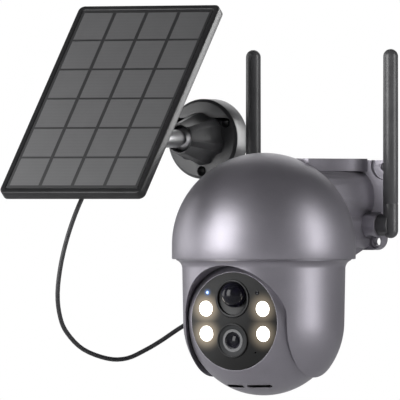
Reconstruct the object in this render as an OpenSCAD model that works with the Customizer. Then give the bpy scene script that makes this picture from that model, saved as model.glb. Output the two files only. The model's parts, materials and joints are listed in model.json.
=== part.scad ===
// Outdoor pan and tilt camera with a wall arm, two antennas and a separate solar panel on a ball bracket.
// Millimetres. Origin at the centre of the camera plate's back face, wall plane Y = 0, +Z up, lens looks to -Y.

/* [Camera] */
// Radius of the round hood
hood_r = 65; // [54:1:80]
// Distance from the wall to the hood's back
arm_gap = 30; // [26:1:60]
// Height of the wall plate
plate_h = 64; // [52:1:80]
// Thickness of the wall plate
plate_t = 9; // [8:0.5:14]
// Screw hole radius in the wall plate
plate_hole_r = 3; // [2:0.25:3.5]
// Wall thickness of the moulded shells
shell = 2.4; // [1.8:0.1:3.2]
// How far the head looks down at rest, degrees
rest_tilt = 2.4; // [0:0.1:10]

/* [Antennas] */
// Overall length of an antenna
antenna_len = 134.6; // [90:1:180]
// Radius of an antenna
antenna_r = 5.4; // [4:0.1:7]

/* [Solar panel] */
// Panel width
panel_w = 116; // [90:1:140]
// Panel length
panel_l = 175; // [130:1:210]
// Panel thickness
panel_t = 7.6; // [6:0.2:15]
// Cells across
cells_x = 4; // [3:1:6]
// Cells along
cells_y = 6; // [4:1:8]
// Angle of the panel's face above the horizontal view to the front, degrees
panel_pitch = 40.3; // [20:0.1:70]

/* [Bracket] */
// Radius of the round wall bracket
disc_r = 28.7; // [26:0.1:36]
// Thickness of the round wall bracket
disc_t = 16.7; // [14:0.1:20]
// Radius of the straight stem
stem_r = 6.5; // [5:0.1:8]
// Radius of the bracket's ball
socket_ball_r = 11; // [9:0.5:12]

/* [Lead] */
// Diameter of the solar lead
lead_d = 3.2; // [2.6:0.1:4]

/* [Hidden] */
$fn = 64;

fit = 0.05;
gap = 0.8;
k = hood_r / 65;
reach = hood_r + arm_gap;
dome_z = -28;
rim_z = dome_z - 10.2 * k;
ball_z = dome_z - 52 * k;
yoke_r = hood_r - 7.3 * k;
yoke_low_r = yoke_r - 0.7 * k;
ball_r = yoke_r - 3.2 * k;
ball_half = 40 * k;
slot_half = ball_half + 1;
slot_r = 42 * k;
yoke_top = ball_z + ball_r + 3.5;
inner_r = hood_r - shell;

// bearing plate and pan gears
bear_z = yoke_top + 1.5;
bear_t = 3;
hub_r = 14;
pan_m = 1;
pan_big = 56;
pan_small = 14;
pan_reach = pan_m * (pan_big + pan_small) / 2;
gear_z = bear_z + bear_t + 0.3;
gear_t = 4;

// tilt gears
tilt_m = 0.8;
tilt_big = 36;
tilt_small = 12;
tilt_reach = tilt_m * (tilt_big + tilt_small) / 2;
shaft_r = 4;
plate_disc_r = 36 * k;
cavity_r = 32.5 * k;
gear_x = slot_half + 2.3;

// face of the head
face_cut = ball_r * 0.7633;
face_r = sqrt(ball_r * ball_r - face_cut * face_cut) - 0.5;
face_front = face_cut + 0.4;
face_t = 2.6;
board_d = face_front - 8;

// plate outline
half_top = 53;
half_low = 47.5;
top_hole_x = 47.6;
top_hole_z = plate_h / 2 - 5;
low_hole_x = 42;
low_hole_z = -(plate_h / 2 - 6);
pivot_y = -11.5;
ear_t = 5.4;
pivot_z = -14.2;
pivot_x = 47.4;
antenna_x = 56.2;
antenna_low = 9.4;
pin_r = 3;

// arm
cover_z = 24;
arm_top = 33;
boss_low = -31.5;
cell_r = 9.1;
cell_len = 65;
cell_y = -plate_t - 12.2;
cell_z = 12;
cell_step = 18.8;
plug_x = 16;
plug_y = -18;
plug_r = 2.75;

// bracket and panel
disc_x = -96;
disc_z = 47.4;
ball_y = -36;
nut_end = -48;
nut_r = 18.8;
nut_tip_r = 11.2;
nut_bore = 9.6;
collar_r = 12.9;
collar_end = 33.5;
flute_r = 5;
flute_deep = 1.3;
hinge_y = -113.5;
hinge_back = 43.5;
knuckle_r = 8;
knuckle_half = 6.2;
hinge_r = 3;
panel_tilt = 90 - panel_pitch;
frame_lip = 4.2;
cell_gap = 0.8;
cell_w = (panel_w - 2 * frame_lip - 2) / cells_x;
cell_l = (panel_l - 2 * frame_lip - 2.8) / cells_y;
exit_v = -30;
exit_n = -(panel_t + 8);

// lead
coil_mid = 19;
coil_thick = 8.5;
coil_at = [-15, -15, -63];
clear_x = -max(0, yoke_r - 57.7);

function round_rect(w, h, r, n = 6) = [
  for (c = [[1, 1, 0], [-1, 1, 90], [-1, -1, 180], [1, -1, 270]]) for (i = [0:n])
  [c[0] * (w / 2 - r) + r * cos(c[2] + 90 * i / n), c[1] * (h / 2 - r) + r * sin(c[2] + 90 * i / n)]];

function arc(x, y, r, from, to, n) = [for (i = [0:n]) [x + r * cos(from + (to - from) * i / n), y + r * sin(from + (to - from) * i / n)]];

function inv(a) = tan(a) * 180 / PI - a;

function flank(r, base, half) = half + inv(20) - (r > base ? inv(acos(base / r)) : 0);

// Involute gear outline with the first tooth on +X.
function gear_points(m, z, slack) = let (rp = m * z / 2, base = rp * cos(20), low = rp - 1.2 * m, high = rp + 0.95 * m, start = max(base, low), half = 90 / z - slack / rp * 90 / PI, rs = [low, start, start + (high - start) * 0.33, start + (high - start) * 0.66, high]) [for (t = [0:z - 1]) for (s = [-1, 1]) for (j = [0:4]) let (r = s < 0 ? rs[j] : rs[4 - j], a = t * 360 / z + s * flank(max(r, start), base, half)) r * [cos(a), sin(a)]];

module gear(m, z, t, bore) {
  difference() {
    linear_extrude(height = t) polygon(gear_points(m, z, 0.12));
    translate([0, 0, -1]) cylinder(h = t + 2, r = bore);
  }
}

// Tube swept along hand-placed points.
function unit(v) = v / norm(v);
function along(p, i) = unit(p[min(i + 1, len(p) - 1)] - p[max(i - 1, 0)]);
function side(t) = unit(cross(t, abs(t[2]) > 0.9 ? [0, 1, 0] : [0, 0, 1]));
function carry(p, i) = i == 0 ? side(along(p, 0)) : let (s = carry(p, i - 1), t = along(p, i)) unit(s - (s * t) * t);
function smooth(p, n) = concat([for (i = [0:len(p) - 2]) for (j = [0:n - 1]) let (a = p[max(i - 1, 0)], b = p[i], c = p[i + 1], d = p[min(i + 2, len(p) - 1)], u = j / n) 0.5 * (2 * b + (c - a) * u + (2 * a - 5 * b + 4 * c - d) * u * u + (3 * b - 3 * c + d - a) * u * u * u)], [p[len(p) - 1]]);

module tube(p, d, sides = 8) {
  rings = [for (i = [0:len(p) - 1]) let (t = along(p, i), s = carry(p, i), q = cross(t, s)) for (j = [0:sides - 1]) p[i] + d / 2 * (cos(360 * j / sides) * s + sin(360 * j / sides) * q)];
  walls = [for (i = [0:len(p) - 2]) for (j = [0:sides - 1]) [i * sides + j, i * sides + (j + 1) % sides, (i + 1) * sides + (j + 1) % sides, (i + 1) * sides + j]];
  last = (len(p) - 1) * sides;
  polyhedron(points = rings, faces = concat([[for (j = [0:sides - 1]) sides - 1 - j]], walls, [[for (j = [0:sides - 1]) last + j]]), convexity = 10);
}

// places
module on_pan() translate([0, -reach, 0]) children();
module on_ball() translate([0, -reach, ball_z]) children();
module on_head() on_ball() rotate([rest_tilt, 0, 0]) children();
module on_face(x, z) on_head() translate([x, 0, z]) rotate([90, 0, 0]) children();
module on_disc() translate([disc_x, 0, disc_z]) rotate([90, 0, 0]) children();
module on_panel() translate([disc_x, hinge_y, disc_z]) rotate([panel_tilt, 0, 0]) translate([0, 0, hinge_back]) children();

exit_at = [disc_x, hinge_y + cos(panel_tilt) * exit_v - sin(panel_tilt) * (hinge_back + exit_n), disc_z + sin(panel_tilt) * exit_v + cos(panel_tilt) * (hinge_back + exit_n)];
exit_way = [0, -cos(panel_tilt), -sin(panel_tilt)];
lead_points = [exit_at - 3 * exit_way, exit_at + 5 * exit_way, exit_at + 16 * exit_way, [-98, -181, 5.7], [-102, -191.3, -16.4], [-107, -194.8, -39.3], [-112, -191.9, -62.1], [-115, -183.1, -79.3], [-116, -171.4, -90.7], [-114, -152.7, -102.1], [-107, -131, -108.8], [-101 + clear_x, -114, -108.8], [-94 + clear_x, -100, -103], [-87 + clear_x, -89.5, -96.4], [-79.5 + clear_x, -78.5, -88.3], [-68 + clear_x, -62, -77], [-57, -49, -67], [-48, -38, -60], [-41, -28, -56], [-36.5, -20.5, -57], [-34.2, -16, -64]];
tail_points = [[plug_x, plug_y, -46], [plug_x, plug_y, -52], [plug_x - 1.5, -17.2, -60], [11, -16, -67], [5, -15, -73]];

module plate_shape() {
  h = plate_h / 2;
  polygon(concat(arc(half_top - 6, h - 6, 6, 90, 5, 8), arc(half_low - 8, -h + 8, 8, -5, -90, 8), arc(-half_low + 8, -h + 8, 8, -90, -175, 8), arc(-half_top + 6, h - 6, 6, 175, 90, 8)));
}

module wall_plate() color([0.53, 0.52, 0.55]) {
  difference() {
    union() {
      rotate([90, 0, 0]) linear_extrude(height = plate_t) plate_shape();
      for (s = [-1, 1]) translate([s * 34, pivot_y, pivot_z]) rotate([0, s * 90, 0]) cylinder(h = pivot_x - 34, r = 9.2);
    }
    for (s = [-1, 1]) {
      translate([s * top_hole_x, 1, top_hole_z]) rotate([90, 0, 0]) cylinder(h = plate_t + 2, r = plate_hole_r);
      translate([s * (top_hole_x + 1.5), -ear_t, top_hole_z + 1.5]) rotate([90, 0, 0]) cylinder(h = plate_t, r = 10.5);
      translate([s * (antenna_x - antenna_r - 0.6 + 10) - 10, -ear_t - 20, -100]) cube([20, 20, 200]);
      translate([s * pivot_x, pivot_y, pivot_z]) rotate([0, s * 90, 0]) cylinder(h = 20, r = 8.2);
      translate([s * low_hole_x, 1, low_hole_z]) rotate([90, 0, 0]) cylinder(h = 30, r = plate_hole_r);
      translate([s * 40, pivot_y, pivot_z]) rotate([0, s * 90, 0]) cylinder(h = 20, r = pin_r + fit);
      translate([s * low_hole_x, -ear_t, low_hole_z]) rotate([90, 0, 0]) cylinder(h = 30, r = 4.6);
    }
    rear_space();
  }
}

// Room that the batteries take behind the hood.
module rear_space() translate([-cell_len / 2 - 1, cell_y - cell_r - 0.4, cell_z - cell_step - cell_r - 0.3]) cube([cell_len + 2, 2 * cell_r + 0.8 - 0.4, cell_step + 2 * cell_r + 0.6]);

// Everything the arm has to leave clear: the hood and its skirt.
module hood_room() {
  translate([0, -reach, dome_z]) sphere(r = hood_r, $fn = 96);
  translate([0, -reach, dome_z - 100]) cylinder(h = 100, r = hood_r, $fn = 96);
}

module arm_body() color([0.53, 0.52, 0.55]) {
  half = [[30, cover_z], [34, 22.5], [38, 18.5], [40.6, 13], [41.8, 5], [40.6, -2], [37, -8.6], [38, -11], [38, -26], [36.6, -29.6], [33, boss_low]];
  flip = [for (i = [len(half) - 1:-1:0]) [-half[i][0], half[i][1]]];
  difference() {
    union() {
      translate([0, -plate_t, 0]) rotate([90, 0, 0]) linear_extrude(height = reach - plate_t - 20) polygon(concat(half, flip));
      for (x = [-34, 26]) translate([x, 0, 0]) rotate([90, 0, 90]) linear_extrude(height = 8) polygon([[-12, boss_low + 1], [-12, boss_low - 0.5], [-arm_gap - 0.6, rim_z], [-arm_gap - 12, rim_z], [-arm_gap - 12, boss_low + 1]]);
    }
    hood_room();
    rear_space();
    translate([plug_x, plug_y, boss_low - 1]) cylinder(h = 15, r = 5);
    translate([0, pivot_y, pivot_z]) for (s = [-1, 1]) translate([s * 34, 0, 0]) rotate([0, s * 90, 0]) cylinder(h = 20, r = 9.2);
    translate([-24, -26, boss_low - 1]) cube([18, 8, 2.2]);
  }
}

module arm_cover() color([0.56, 0.55, 0.58]) {
  side = [[36, 0], [35.2, 8], [32.6, 18], [30.6, 28], [30, 40], [30, reach - 20]];
  flip = [for (i = [len(side) - 1:-1:0]) [-side[i][0], -side[i][1]]];
  difference() {
    translate([0, 0, cover_z]) linear_extrude(height = arm_top - cover_z) polygon(concat([for (p = side) [p[0], -p[1] - plate_t]], [for (p = flip) [p[0], p[1] - plate_t]]));
    hood_room();
  }
}

module hood() color([0.55, 0.54, 0.58]) on_pan() {
  rotate_extrude($fn = 96) difference() {
    union() {
      intersection() {
        translate([0, dome_z]) circle(r = hood_r, $fn = 96);
        translate([0, dome_z]) square([hood_r, hood_r]);
      }
      translate([0, rim_z]) square([hood_r, dome_z - rim_z]);
    }
    intersection() {
      translate([0, dome_z]) circle(r = inner_r, $fn = 96);
      translate([-1, dome_z]) square([inner_r + 1, inner_r]);
    }
    translate([-1, rim_z - 1]) square([inner_r + 1, dome_z - rim_z + 1]);
  }
}

module bearing_plate() color([0.2, 0.2, 0.21]) on_pan() {
  difference() {
    union() {
      intersection() {
        translate([0, 0, bear_z]) cylinder(h = bear_t, r = hood_r);
        translate([0, 0, dome_z]) sphere(r = inner_r, $fn = 96);
      }
      for (a = [0, 90, 180]) translate([42 * cos(a), 42 * sin(a), bear_z + 1]) cylinder(h = 26, r = 3);
      for (s = [-1, 1]) translate([s * 15.5, -pan_reach, bear_z + 1]) cylinder(h = gear_z + gear_t + 0.7 - bear_z - 1, r = 3);
    }
    translate([0, 0, bear_z - 1]) cylinder(h = bear_t + 2, r = hub_r + fit);
  }
}

module main_board() color([0.1, 0.35, 0.2]) on_pan() {
  translate([0, 0, bear_z + 27]) cylinder(h = 1.6, r = 46);
  translate([-12, 8, bear_z + 28.6]) cube([22, 22, 2]);
  translate([14, -22, bear_z + 28.6]) cube([12, 14, 3]);
  translate([-30, -14, bear_z + 28.6]) cube([12, 12, 2]);
}

module pan_motor() color([0.72, 0.73, 0.75]) on_pan() {
  z = gear_z + gear_t + 0.7;
  translate([0, -pan_reach, z]) cylinder(h = 15, r = 12);
  translate([-19, -pan_reach - 4, z]) cube([38, 8, 1.2]);
  translate([0, -pan_reach, z + 14]) cylinder(h = 3, r = 5);
}

module pan_pinion() color([0.85, 0.83, 0.76]) on_pan() {
  translate([0, -pan_reach, gear_z]) rotate([0, 0, 90 + 180 / pan_small]) gear(pan_m, pan_small, gear_t, 1.5);
  translate([0, -pan_reach, gear_z]) cylinder(h = gear_t, r = 1.5);
}

module battery(z) color([0.15, 0.35, 0.6]) {
  translate([-cell_len / 2, cell_y, z]) rotate([0, 90, 0]) cylinder(h = cell_len - 1.5, r = cell_r);
  translate([cell_len / 2 - 1.5, cell_y, z]) rotate([0, 90, 0]) cylinder(h = 1.5, r = 3);
}

module battery_upper() battery(cell_z);

module battery_lower() battery(cell_z - cell_step);

module power_socket() color([0.08, 0.08, 0.08]) {
  difference() {
    translate([plug_x, plug_y, boss_low]) cylinder(h = 12, r = 5);
    translate([plug_x, plug_y, boss_low - 1]) cylinder(h = 10, r = plug_r);
  }
}

module port_cover() color([0.07, 0.07, 0.07]) {
  translate([-24, -26, boss_low - 0.8]) cube([18, 8, 2]);
  translate([-17, -23, boss_low - 1.6]) cube([4, 2, 1]);
}

// yoke
module yoke_space() {
  on_ball() intersection() {
    sphere(r = ball_r + gap, $fn = 96);
    translate([-slot_half, -100, -100]) cube([2 * slot_half, 200, 200]);
  }
  translate([0, -reach + 100, 0]) rotate([90, 0, 0]) linear_extrude(height = 200) union() {
    intersection() {
      translate([0, ball_z - 4.4]) circle(r = slot_r, $fn = 96);
      translate([-slot_half, ball_z - 4.4]) square([2 * slot_half, slot_r + 1]);
    }
    translate([-slot_half, ball_z - 90]) square([2 * slot_half, 85.6]);
  }
}

module arm_space(s) {
  on_ball() translate([s * (slot_half - 0.5), 0, 0]) rotate([0, s * 90, 0]) cylinder(h = 2, r = plate_disc_r);
  intersection() {
    on_ball() translate([s * (slot_half + 1), 0, 0]) rotate([0, s * 90, 0]) cylinder(h = 30, r = cavity_r);
    on_pan() union() {
      translate([0, 0, ball_z - 2]) cylinder(h = 60, r = yoke_low_r - shell);
      translate([0, 0, ball_z - 2]) sphere(r = yoke_low_r - shell - 0.4, $fn = 96);
    }
  }
}

module yoke_shell() color([0.52, 0.51, 0.55]) {
  difference() {
    on_pan() union() {
      rotate_extrude($fn = 96) union() {
        polygon([[0, ball_z - 2], [yoke_low_r, ball_z - 2], [yoke_r, rim_z - 6.8], [yoke_r, rim_z - 0.8], [yoke_r, yoke_top - 5], [yoke_r - 6, yoke_top], [0, yoke_top]]);
        intersection() {
          translate([0, ball_z - 2]) circle(r = yoke_low_r, $fn = 96);
          translate([0, ball_z - 2 - yoke_low_r]) square([yoke_low_r, yoke_low_r]);
        }
      }
      translate([0, 0, yoke_top - 1]) cylinder(h = gear_z + gear_t + 2 - yoke_top, r = hub_r);
    }
    yoke_space();
    for (s = [-1, 1]) arm_space(s);
    on_pan() translate([0, 0, ball_z]) cylinder(h = 100, r = 8);
  }
}

module yoke_flare() color([0.52, 0.51, 0.55]) on_pan() {
  rotate_extrude($fn = 96) difference() {
    translate([yoke_r, rim_z - 6.8]) square([4.2, 7.2]);
    translate([yoke_r + 4.9, rim_z - 7.5]) circle(r = 4.9, $fn = 48);
  }
}

module pan_gear() color([0.85, 0.83, 0.76]) on_pan() {
  translate([0, 0, gear_z]) rotate([0, 0, -90]) gear(pan_m, pan_big, gear_t, hub_r);
}

module arm_plate(s) {
  difference() {
    on_ball() union() {
      translate([s * slot_half, 0, 0]) rotate([0, s * 90, 0]) cylinder(h = 1.5, r = plate_disc_r);
      translate([s * (slot_half + 1), 0, 0]) rotate([0, s * 90, 0]) cylinder(h = 1, r = 7);
      for (y = [-13, 13]) translate([s * (slot_half + 1), y, tilt_reach + 7]) rotate([0, s * 90, 0]) cylinder(h = gear_x + 3.6 - slot_half - 1, r = 2.2);
    }
    on_ball() translate([s * (slot_half - 1), 0, 0]) rotate([0, s * 90, 0]) cylinder(h = 6, r = shaft_r + fit);
  }
}

module arm_plate_left() color([0.13, 0.13, 0.14]) arm_plate(-1);

module arm_plate_right() color([0.13, 0.13, 0.14]) arm_plate(1);

module tilt_motor() color([0.72, 0.73, 0.75]) on_ball() {
  x = -(gear_x + 3.6);
  translate([x, 0, tilt_reach]) rotate([0, -90, 0]) cylinder(h = 6.4, r = 9);
  translate([x - 1, -14, tilt_reach + 4.6]) cube([1, 28, 4.8]);
}

module tilt_pinion() color([0.85, 0.83, 0.76]) on_ball() {
  translate([-gear_x, 0, tilt_reach]) rotate([0, -90, 0]) rotate([0, 0, 180 + 180 / tilt_small]) gear(tilt_m, tilt_small, 3, 1.2);
  translate([-gear_x, 0, tilt_reach]) rotate([0, -90, 0]) cylinder(h = 3, r = 1.2);
}

// head
module head_shell() color([0.5, 0.49, 0.53]) {
  difference() {
    on_head() intersection() {
      sphere(r = ball_r, $fn = 96);
      translate([-ball_half, -face_cut, -100]) cube([2 * ball_half, 200, 200]);
    }
    on_head() intersection() {
      sphere(r = ball_r - shell, $fn = 96);
      translate([-ball_half + shell, -face_cut + 3.2, -100]) cube([2 * (ball_half - shell), 200, 200]);
    }
    on_face(0, 0) translate([0, 0, face_front - face_t]) cylinder(h = 10, r = face_r, $fn = 96);
    on_face(0, 0) translate([0, 0, 30 * k]) cylinder(h = 20, r = face_r - 2, $fn = 96);
    for (s = [-1, 1]) on_head() translate([s * (ball_half - 4), 0, 0]) rotate([0, s * 90, 0]) cylinder(h = 6, r = shaft_r);
    on_head() rotate([61.5, 0, 0]) for (s = [-1, 1]) translate([s * 8.6 - 7.4, -ball_r - 4, -1.2]) cube([14.8, 9, 2.4]);
  }
}

module tilt_shaft(s, out) on_ball() {
  translate([s * (ball_half - shell - 2), 0, 0]) rotate([0, s * 90, 0]) cylinder(h = 2, r = 8);
  translate([s * (ball_half - shell - 1), 0, 0]) rotate([0, s * 90, 0]) cylinder(h = out - ball_half + shell + 1, r = shaft_r);
}

module tilt_shaft_left() color([0.7, 0.71, 0.73]) tilt_shaft(-1, gear_x + 3.2);

module tilt_shaft_right() color([0.7, 0.71, 0.73]) tilt_shaft(1, gear_x + 3.2);

module shaft_clip() color([0.35, 0.35, 0.36]) on_ball() {
  translate([gear_x, 0, 0]) rotate([0, 90, 0]) difference() {
    cylinder(h = 1, r = 6.5);
    translate([0, 0, -1]) cylinder(h = 3, r = shaft_r);
  }
}

module tilt_gear() color([0.85, 0.83, 0.76]) on_ball() {
  translate([-gear_x, 0, 0]) rotate([0, -90, 0]) gear(tilt_m, tilt_big, 3, shaft_r);
}

flood = [[-23, 8.8], [23, 8.8], [-23, -8.8], [23, -8.8]];
motion_at = [-1, 16];
motion_eye = [0.5, 18.8];
motion_eye_r = 8.6;
lens_at = [-1.5, -13.6];
status_at = [-21.3, 20.2];
light_at = [19, 20];
mic_at = [16.6, -22];

module face_plate() color([0.2, 0.2, 0.21]) {
  difference() {
    on_face(0, 0) translate([0, 0, face_front - face_t]) cylinder(h = face_t, r = face_r, $fn = 96);
    for (p = flood) on_face(p[0], p[1]) translate([0, 0, face_front - 5]) cylinder(h = 8, r = 5.4);
    on_face(motion_at[0], motion_at[1]) translate([0, 0, face_front - 5]) cylinder(h = 8, r = 12);
    on_face(lens_at[0], lens_at[1]) translate([0, 0, face_front - 5]) cylinder(h = 8, r = 10.6);
    on_face(status_at[0], status_at[1]) translate([0, 0, face_front - 5]) cylinder(h = 8, r = 1.3);
    on_face(light_at[0], light_at[1]) translate([0, 0, face_front - 5]) cylinder(h = 8, r = 1.3);
    on_face(mic_at[0], mic_at[1]) translate([0, 0, face_front - 5]) cylinder(h = 8, r = 0.6);
  }
}

module flood_lens(i) color([1, 0.96, 0.86]) on_face(flood[i][0], flood[i][1]) {
  translate([0, 0, board_d + 1.6]) cylinder(h = face_front - board_d - 1.2, r = 5.4);
}

module flood_lens_upper_left() flood_lens(0);

module flood_lens_upper_right() flood_lens(1);

module flood_lens_lower_left() flood_lens(2);

module flood_lens_lower_right() flood_lens(3);

module head_board() color([0.1, 0.35, 0.2]) {
  difference() {
    on_face(0, 0) translate([0, 0, board_d]) cylinder(h = 1.6, r = face_r - 2);
    on_face(lens_at[0], lens_at[1]) translate([0, 0, board_d - 1]) cylinder(h = 4, r = 8);
  }
  on_face(0, 0) translate([-9, -30, board_d - 12]) cube([18, 3, 12]);
}

module motion_ring() color([0.1, 0.1, 0.1]) {
  difference() {
    on_face(motion_at[0], motion_at[1]) difference() {
      union() {
        translate([0, 0, face_front]) cylinder(h = 1, r = 13.6);
        translate([0, 0, face_front - face_t]) cylinder(h = face_t + 0.5, r = 12);
      }
      translate([0, 0, face_front - 1]) cylinder(h = 4, r = 11.6);
    }
    on_face(motion_eye[0], motion_eye[1]) translate([0, 0, face_front - face_t - 1]) cylinder(h = 8, r = motion_eye_r);
  }
}

module motion_dome() color([0.04, 0.04, 0.05]) on_face(motion_eye[0], motion_eye[1]) {
  rotate_extrude() difference() {
    union() {
      intersection() {
        translate([0, face_front]) circle(r = motion_eye_r);
        translate([0, face_front]) square([motion_eye_r, 12]);
      }
      translate([0, face_front - face_t]) square([motion_eye_r, face_t]);
    }
    intersection() {
      translate([0, face_front]) circle(r = motion_eye_r - 1);
      translate([-1, face_front - 0.01]) square([motion_eye_r, 12]);
    }
    translate([-1, face_front - face_t - 1]) square([motion_eye_r, face_t + 1.1]);
  }
}

module motion_sensor() color([0.7, 0.7, 0.66]) on_face(motion_eye[0], motion_eye[1]) {
  translate([0, 0, board_d + 1.6]) cylinder(h = 3, r = 4.6);
}

module lens_bezel() color([0.32, 0.32, 0.33]) on_face(lens_at[0], lens_at[1]) {
  rotate_extrude() difference() {
    union() {
      translate([8, face_front - face_t]) square([2.6, face_t + 0.3]);
      translate([8, face_front]) square([4, 1]);
    }
    translate([7, face_front + 0.5]) square([2.6, 2]);
  }
}

module lens_barrel() color([0.12, 0.12, 0.12]) on_face(lens_at[0], lens_at[1]) {
  rotate_extrude() difference() {
    translate([0, board_d - 14]) square([8, face_front + 0.2 - board_d + 14]);
    translate([-1, face_front - 3]) square([7.15, 5]);
  }
}

module lens_glass() color([0.02, 0.02, 0.03]) on_face(lens_at[0], lens_at[1]) {
  rotate_extrude() intersection() {
    translate([0, face_front - 9.2]) circle(r = 9.6);
    translate([0, face_front - 3]) square([6.15, 6]);
  }
}

module status_light() color([0.2, 0.35, 0.9]) on_face(status_at[0], status_at[1]) {
  translate([0, 0, board_d + 1.6]) cylinder(h = face_front - board_d - 1.4, r = 1.3);
}

module light_sensor() color([0.05, 0.05, 0.05]) on_face(light_at[0], light_at[1]) {
  translate([0, 0, board_d + 1.6]) cylinder(h = face_front - board_d - 1.7, r = 1.3);
}

module speaker() color([0.16, 0.16, 0.17]) on_head() {
  rotate([151.5, 0, 0]) translate([0, 0, ball_r - shell - 9]) cylinder(h = 6.3, r = 14);
}

// antennas
module antenna_rod(s) translate([s * antenna_x, pivot_y, pivot_z - antenna_low]) {
  rotate_extrude() intersection() {
    union() {
      translate([0, antenna_r]) circle(r = antenna_r);
      translate([0, antenna_r]) square([antenna_r, antenna_len - 2 * antenna_r]);
      translate([0, antenna_len - antenna_r]) circle(r = antenna_r);
    }
    square([antenna_r + 1, antenna_len]);
  }
}

module antenna_pivot(s) difference() {
  union() {
    translate([s * (pivot_x + 0.3), pivot_y, pivot_z]) rotate([0, s * 90, 0]) cylinder(h = antenna_x - pivot_x - 0.3, r = 7.65);
    translate([s * 41, pivot_y, pivot_z]) rotate([0, s * 90, 0]) cylinder(h = 8, r = pin_r);
  }
  antenna_rod(s);
}

module antenna_left() color([0.2, 0.2, 0.21]) antenna_rod(-1);

module antenna_left_pivot() color([0.25, 0.25, 0.26]) antenna_pivot(-1);

module antenna_right() color([0.2, 0.2, 0.21]) antenna_rod(1);

module antenna_right_pivot() color([0.25, 0.25, 0.26]) antenna_pivot(1);

// bracket
module wall_disc() color([0.09, 0.09, 0.1]) on_disc() {
  difference() {
    union() {
      rotate_extrude($fn = 96) polygon([[0, 0], [disc_r, 0], [disc_r, disc_t - 2], [disc_r - 2, disc_t], [0, disc_t]]);
      cylinder(h = collar_end, r = collar_r);
    }
    translate([0, 0, -ball_y]) sphere(r = socket_ball_r + 0.1, $fn = 96);
    for (a = [30, 150, 270]) rotate([0, 0, a]) translate([23, 0, 0]) {
      translate([0, 0, -1]) cylinder(h = 30, r = 2.25);
      translate([0, 0, 6]) cylinder(h = 30, r = 3.6);
    }
  }
}

module lock_nut() color([0.09, 0.09, 0.1]) on_disc() {
  difference() {
    rotate_extrude($fn = 96) polygon([[0, disc_t + 0.3], [nut_r, disc_t + 0.3], [nut_r, disc_t + 4], [nut_tip_r + 0.6, -nut_end - 3], [nut_tip_r, -nut_end], [0, -nut_end]]);
    translate([0, 0, disc_t - 1]) cylinder(h = collar_end - disc_t + 1.3, r = collar_r + fit);
    translate([0, 0, -ball_y]) sphere(r = socket_ball_r + 0.1, $fn = 96);
    translate([0, 0, -ball_y]) cylinder(h = 30, r = nut_bore);
    for (a = [0:60:300]) rotate([0, 0, a]) translate([nut_r - flute_deep + flute_r + 0.2, 0, disc_t + 4]) rotate([0, -16, 0]) translate([0, 0, -12]) cylinder(h = 60, r = flute_r);
  }
}

module stem() color([0.12, 0.12, 0.13]) {
  on_disc() {
    translate([0, 0, -ball_y]) sphere(r = socket_ball_r, $fn = 96);
    translate([0, 0, -ball_y + 6]) cylinder(h = 10, r = 4.5);
    translate([0, 0, -ball_y + 12.5]) cylinder(h = 4.5, r1 = 4.5, r2 = stem_r);
    translate([0, 0, -ball_y + 17]) cylinder(h = -hinge_y + ball_y - 17 - 16, r = stem_r);
  }
  difference() {
    union() {
      translate([disc_x, hinge_y, disc_z]) intersection() {
        rotate([-90, 0, 0]) cylinder(h = 16, r = stem_r);
        translate([-knuckle_half, -1, -20]) cube([2 * knuckle_half, 20, 40]);
      }
      translate([disc_x - knuckle_half, hinge_y, disc_z]) rotate([0, 90, 0]) cylinder(h = 2 * knuckle_half, r = knuckle_r);
    }
    translate([disc_x - 20, hinge_y, disc_z]) rotate([0, 90, 0]) cylinder(h = 40, r = hinge_r + fit);
  }
}

// panel
module panel_frame() color([0.2, 0.2, 0.21]) on_panel() {
  difference() {
    translate([0, 0, -panel_t]) linear_extrude(height = panel_t) polygon(round_rect(panel_w, panel_l, 4.5));
    translate([0, 0, -3]) linear_extrude(height = 10) polygon(round_rect(panel_w - 2 * frame_lip, panel_l - 2 * frame_lip, 2));
    translate([0, 0, -panel_t + 2.4]) linear_extrude(height = 20) polygon(round_rect(panel_w - 2 * frame_lip - 4, panel_l - 2 * frame_lip - 4, 2));
  }
}

module cell_backing() color([0.25, 0.25, 0.27]) on_panel() {
  translate([0, 0, -3]) linear_extrude(height = 1.4) polygon(round_rect(panel_w - 2 * frame_lip, panel_l - 2 * frame_lip, 2));
}

module solar_cells() color([0.37, 0.37, 0.38]) on_panel() {
  for (i = [0:cells_x - 1]) for (j = [0:cells_y - 1]) translate([(i - (cells_x - 1) / 2) * cell_w - (cell_w - cell_gap) / 2, (j - (cells_y - 1) / 2) * cell_l - (cell_l - cell_gap) / 2, -1.6]) cube([cell_w - cell_gap, cell_l - cell_gap, 0.3]);
}

module panel_glass() color([0.3, 0.3, 0.32, 0.4]) on_panel() {
  translate([0, 0, -1.3]) linear_extrude(height = 1.1) polygon(round_rect(panel_w - 2 * frame_lip, panel_l - 2 * frame_lip, 2));
}

module junction_box() color([0.07, 0.07, 0.08]) on_panel() {
  difference() {
    translate([-15, exit_v + 2, -panel_t - 13]) cube([30, 11.5, 13]);
    translate([0, exit_v + 8, exit_n]) rotate([90, 0, 0]) cylinder(h = 12, r = lead_d / 2);
  }
  difference() {
    translate([0, exit_v + 2, exit_n]) rotate([90, 0, 0]) cylinder(h = 4, r1 = 4, r2 = 3);
    translate([0, exit_v + 8, exit_n]) rotate([90, 0, 0]) cylinder(h = 12, r = lead_d / 2);
  }
}

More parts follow.
